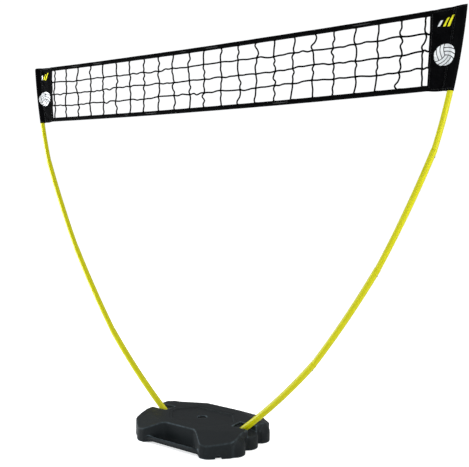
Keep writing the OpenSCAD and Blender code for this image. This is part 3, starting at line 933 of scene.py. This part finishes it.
PANEL_COLS, SLEEVE_COLS, PANEL_ROWS = 42, 34, 190
SEAM_IN = -0.029
CLOTH, SLEEVE_R, FLAT_HALF = 0.0010, 0.01495, 0.00115
SLEEVE_CLOSE = 0.014
HEM_W, HEM_RISE, GATHER_W, GATHER_RISE = 0.013, 0.0005, 0.012, 0.0004
SHEET_COLS, SHEET_ROWS = 13, 45
SLACK_LIMIT = np.array((0.003, 0.008, 0.003))
BALL_Z, BARS_Z, PRINT_LEVEL = 1.998, 2.138, 2.0
BARS = ((-0.024, 0.026), (0.002, 0.036), (0.022, 0.046))
BALL_R, SEAM_BEND = 0.047, 0.050


def pole_x(z):
    """X of the right-hand pole's centre at height z, on its top tube."""
    centre, radius = arc_centre(ARCS[-1]), ARCS[-1][2]
    return centre[0] + np.sqrt(radius ** 2 - (centre[1] - z) ** 2)


def panel_plan(across, up):
    """Rest place (x, z) of panel points: across is 0 to 1 inner edge to seam, 1 to 2 seam to fold."""
    level = NET_BOTTOM + up * (NET_TOP - NET_BOTTOM)
    seam, fold = pole_x(level) + SEAM_IN, pole_x(level) + SLEEVE_R
    round_pole = np.sin(np.maximum(across - 1, 0) * math.pi / 2)
    x = HALF_SPAN + (seam - HALF_SPAN) * np.minimum(across, 1) + (fold - seam) * round_pole
    outward = (x - HALF_SPAN) / (fold - HALF_SPAN)
    low = NET_BOTTOM + EDGE_DROP * (1 - outward)
    high = NET_TOP - EDGE_DROP * (1 - outward)
    return x, low + up * (high - low)


def drape(flip):
    """Slack of one panel between the net and its sleeve, as a moved distance at each sheet point."""
    across, up = np.meshgrid(np.linspace(0, 1, SHEET_COLS), np.linspace(0, 1, SHEET_ROWS))
    x, z = panel_plan(across, up)
    ripple = 0.0012 * np.sin(9 * across + 23 * up + flip) * np.sin(math.pi * across)
    rest = np.stack([flip * x, ripple, z], -1).reshape(-1, 3)
    moved = np.stack([0 * x, 5 * ripple * np.sin(17 * up + flip), 0 * z], -1)
    faces, _ = grid_faces(SHEET_ROWS, SHEET_COLS)
    shape = Shape()
    shape.add(rest, faces)
    sheet = shape.build("sheet", MAT["panel_cloth"])
    held = (across == 1) | ((across == 0) & ((up < 0.06) | (up > 0.94)))
    for j in range(1, ROWS):
        held |= (across == 0) & (np.abs(up - (BAND_H + j / ROWS * (NET_TOP - NET_BOTTOM - 2 * BAND_H))
                                        / (NET_TOP - NET_BOTTOM)) < 0.6 / (SHEET_ROWS - 1))
    sheet.vertex_groups.new(name="held").add(np.flatnonzero(held.ravel()).tolist(), 1.0, "REPLACE")
    cloth = sheet.modifiers.new("cloth", "CLOTH")
    settings = cloth.settings
    settings.vertex_group_mass = "held"
    settings.quality = 8
    settings.mass = 0.2
    settings.tension_stiffness = settings.compression_stiffness = 12
    settings.shear_stiffness = 6
    settings.bending_stiffness = 0.4
    settings.shrink_min = -0.022
    cloth.collision_settings.use_collision = False
    scene = bpy.context.scene
    cloth.point_cache.frame_end = 40
    for step in range(1, 33):
        scene.frame_set(step)
    settled = sheet.evaluated_get(bpy.context.evaluated_depsgraph_get()).data
    spots = np.array([v.co[:] for v in settled.vertices])
    scene.frame_set(1)
    bpy.data.objects.remove(sheet)
    moved = (spots - rest).reshape(SHEET_ROWS, SHEET_COLS, 3)
    return np.clip(moved, -SLACK_LIMIT, SLACK_LIMIT)


def blend_grid(grid, across, up):
    """Smooth value of a coarse grid at shares across and up, 0 to 1."""
    rows, cols = grid.shape[0] - 1, grid.shape[1] - 1
    r, c = np.clip(up, 0, 1) * rows, np.clip(across, 0, 1) * cols
    i, j = np.minimum(r.astype(int), rows - 1), np.minimum(c.astype(int), cols - 1)
    s, t = smoothstep(r - i)[..., None], smoothstep(c - j)[..., None]
    return ((grid[i, j] * (1 - s) + grid[i + 1, j] * s) * (1 - t)
            + (grid[i, j + 1] * (1 - s) + grid[i + 1, j + 1] * s) * t)


def sleeve_half(u, z, radius):
    """Half thickness of a sleeve of one radius, at distance u outwards from the pole's centre."""
    touch = radius ** 2 / SEAM_IN
    line = math.sqrt(radius ** 2 - touch ** 2) * (SEAM_IN - u) / (SEAM_IN - touch)
    half = np.where(u < touch, line, np.sqrt(np.maximum(radius ** 2 - u ** 2, 0)))
    closing = np.sqrt(np.clip(1 - (np.maximum(z - NET_TOP + SLEEVE_CLOSE, 0) / SLEEVE_CLOSE) ** 2, 0, 1))
    return np.maximum(half, 0) * closing


def ball_print(x, z):
    """Signed distance of a round ball emblem with three curved seams and their parallels."""
    ring = np.hypot(x, z) - BALL_R
    arcs = []
    for k in range(3):
        turn = 2 * math.pi * k / 3 + 0.5
        away = np.hypot(x - SEAM_BEND * math.cos(turn), z - SEAM_BEND * math.sin(turn))
        arcs.append(away - SEAM_BEND)
    seam = np.full(x.shape, 1.0)
    for near, far in zip(arcs, arcs[1:] + arcs[:1]):
        lines = np.minimum(np.minimum(np.abs(near), np.abs(far)),
                           np.minimum(np.abs(near - 0.0155), np.abs(near - 0.031)))
        seam = np.where((near >= 0) & (far < 0), lines, seam)
    return np.maximum(ring, 0.0017 - seam)


def bar_print(x, z, height):
    """Signed distance of one slanting bar."""
    return np.maximum(np.abs(x - 0.45 * z) * 0.91 - 0.0048, np.abs(z) - height / 2)


def add_slab(shape, outer, inner):
    """Closed sheet between two grids of points."""
    rows, cols = outer.shape[:2]
    faces, _ = grid_faces(rows, cols)
    count = rows * cols
    index = np.arange(count).reshape(rows, cols)
    ring = np.concatenate([index[0, :-1], index[:-1, -1], index[-1, :0:-1], index[:0:-1, 0]])
    after = np.roll(ring, -1)
    rim = np.stack([ring, after, after + count, ring + count], -1)
    verts = np.concatenate([outer.reshape(-1, 3), inner.reshape(-1, 3)])
    shape.add(verts, [*faces, *(faces[:, ::-1] + count), *rim])


def build_panel(side, flip, thread):
    """Two cloth layers sewn together, open round the pole as a sleeve, with a generic print."""
    across = np.concatenate([np.linspace(0, 1, PANEL_COLS), np.linspace(1, 2, SLEEVE_COLS)[1:]])
    across, up = np.meshgrid(across, np.linspace(0, 1, PANEL_ROWS))
    x, z = panel_plan(across, up)
    moved = blend_grid(drape(flip), across, up)
    u = x - pole_x(z)
    rim = np.minimum(np.minimum(z - z[0], z[-1] - z), x - HALF_SPAN)
    hem = HEM_RISE * smoothstep((HEM_W - rim) / 0.0012)
    gather = GATHER_RISE * np.sin(260 * z + 3 * np.sin(40 * z)) * np.exp(-((u - SEAM_IN) / GATHER_W) ** 2)
    flat = (FLAT_HALF + hem) * np.minimum(1, (SLEEVE_R - u) / 0.004 + 0.1)
    half = np.maximum(sleeve_half(u, z, SLEEVE_R), flat) + np.abs(gather)
    hollow = np.maximum(sleeve_half(u, z, SLEEVE_R - CLOTH), np.minimum(0.0001, flat / 2))
    shape = Shape()
    whites, yellows = [], []
    middle = (HALF_SPAN + pole_x(PRINT_LEVEL) + SLEEVE_R) / 2
    for face in (-1, 1):
        outer = np.stack([flip * x + moved[..., 0], face * half + moved[..., 1], z + moved[..., 2]], -1)
        inner = outer - np.stack([0 * x, face * (half - hollow), 0 * x], -1)
        add_slab(shape, outer, inner)
        for path in (outer[:, 4], outer[:, PANEL_COLS - 2], outer[:, PANEL_COLS - 5], outer[5], outer[-6]):
            add_stitches(thread, path, (0, face * STITCH_LIFT, 0))
        reading = -face * flip * (x - middle)
        ball = ball_print(reading, z - BALL_Z)
        bars = [bar_print(reading - at, z - BARS_Z - 0.10 * at, height) for at, height in BARS]
        blank = np.ones(x.size)
        whites += [np.minimum(ball, bars[0]).ravel(), blank]
        yellows += [np.minimum(bars[1], bars[2]).ravel(), blank]
    panel = shape.build(f"{side}_net_panel", MAT["panel_cloth"])
    set_attribute(panel, "ink_white", np.concatenate(whites))
    set_attribute(panel, "ink_yellow", np.concatenate(yellows))
    place(panel, "stand", "panel_cloth", f"{side}_end_panel")


# ---------------------------------------------------------------- studio

FLOOR_GLOW, SKY_LIGHT, SKY_SEEN, SUN_LEVEL = 0.6, 0.26, 1.05, 1.2


def area_light(name, spot, target, size, power, tint=(1, 1, 1)):
    data = bpy.data.lights.new(name, "AREA")
    data.shape = "RECTANGLE"
    data.size, data.size_y = size
    data.energy = power
    data.color = tint
    lamp = bpy.data.objects.new(name, data)
    lamp.location = spot
    lamp.rotation_euler = (Vector(target) - Vector(spot)).to_track_quat("-Z", "Y").to_euler()
    bpy.context.scene.collection.objects.link(lamp)


def build_studio():
    """Floor, sky, soft sun and three softboxes. The camera sees floor and sky brighter than they light."""
    bpy.ops.mesh.primitive_plane_add(size=60)
    floor = bpy.context.object
    floor.name = "studio_floor"
    paint = Recipe("studio_paint")
    faint = paint.ramp(paint.noise(1.5, 3), 0.3, 0.7)
    tone = paint.mix(faint, grey(0.93), grey(0.95))
    seen = paint.add("ShaderNodeLightPath").outputs["Is Camera Ray"]
    glow = {"Emission_Color": grey(1.0), "Emission_Strength": paint.maths("MULTIPLY", seen, FLOOR_GLOW)}
    floor.data.materials.append(paint.finish(tone, 0.9, paint.bump(paint.noise(60), 0.02, 0.001), **glow))
    world = bpy.data.worlds.new("studio")
    world.use_nodes = True
    sky = world.node_tree.nodes["Background"]
    sky.inputs["Color"].default_value = (0.98, 0.99, 1.0, 1)
    seen = world.node_tree.nodes.new("ShaderNodeLightPath").outputs["Is Camera Ray"]
    level = world.node_tree.nodes.new("ShaderNodeMapRange")
    level.inputs["To Min"].default_value = SKY_LIGHT
    level.inputs["To Max"].default_value = SKY_SEEN
    world.node_tree.links.new(seen, level.inputs["Value"])
    world.node_tree.links.new(level.outputs["Result"], sky.inputs["Strength"])
    bpy.context.scene.world = world
    bpy.context.scene.view_settings.view_transform = "Standard"
    sun = bpy.data.objects.new("overhead_sun", bpy.data.lights.new("overhead_sun", "SUN"))
    sun.data.energy = SUN_LEVEL
    sun.data.angle = math.radians(70)
    sun.rotation_euler = Vector((0.2, 0.35, 1.0)).to_track_quat("Z", "Y").to_euler()
    bpy.context.scene.collection.objects.link(sun)
    area_light("left_softbox", (-3.1, -1.0, 1.1), target=(-1.0, 0, 0.9), size=(0.9, 2.4), power=110,
               tint=(0.93, 0.97, 1.0))
    area_light("right_softbox", (3.3, -0.5, 1.6), target=(1.0, 0, 1.2), size=(0.8, 1.8), power=35)
    area_light("front_softbox", (1.2, -4.8, 1.6), target=(0, 0, 0.9), size=(2.4, 1.8), power=52,
               tint=(0.80, 0.93, 1.0))


CAMERA_AT = (2.233, -2.968, 1.368)
YAW, PITCH, ROLL = math.radians(-34.31), math.radians(-5.61), math.radians(0.66)
SENSOR_MM, LENS_MM = 36.0, 50.876
SHIFT_X, SHIFT_Y = 0.00149, 0.06119


def build_camera():
    """Camera at the photograph's viewing angle."""
    data = bpy.data.cameras.new("photo_camera")
    data.sensor_width = SENSOR_MM
    data.lens = LENS_MM
    data.shift_x = SHIFT_X
    data.shift_y = SHIFT_Y
    camera = bpy.data.objects.new("photo_camera", data)
    ahead = Vector((math.sin(YAW) * math.cos(PITCH), math.cos(YAW) * math.cos(PITCH), math.sin(PITCH)))
    level = Vector((math.cos(YAW), -math.sin(YAW), 0))
    upward = level.cross(ahead)
    right = math.cos(ROLL) * level + math.sin(ROLL) * upward
    upward = right.cross(ahead)
    turned = Matrix((right, upward, -ahead)).transposed().to_4x4()
    camera.matrix_world = Matrix.Translation(CAMERA_AT) @ turned
    bpy.context.scene.collection.objects.link(camera)
    bpy.context.scene.camera = camera


build_tank()
build_plug()
build_seal()
build_poles()
sewing = Shape()
build_net()
build_band("top_band", top_edge, 1, sewing)
build_band("bottom_band", bottom_edge, -1, sewing)
for side, flip in SIDES:
    build_panel(side, flip, sewing)
place(sewing.build("stitching", MAT["thread"]), "stand", "band_tape")
build_studio()
build_camera()
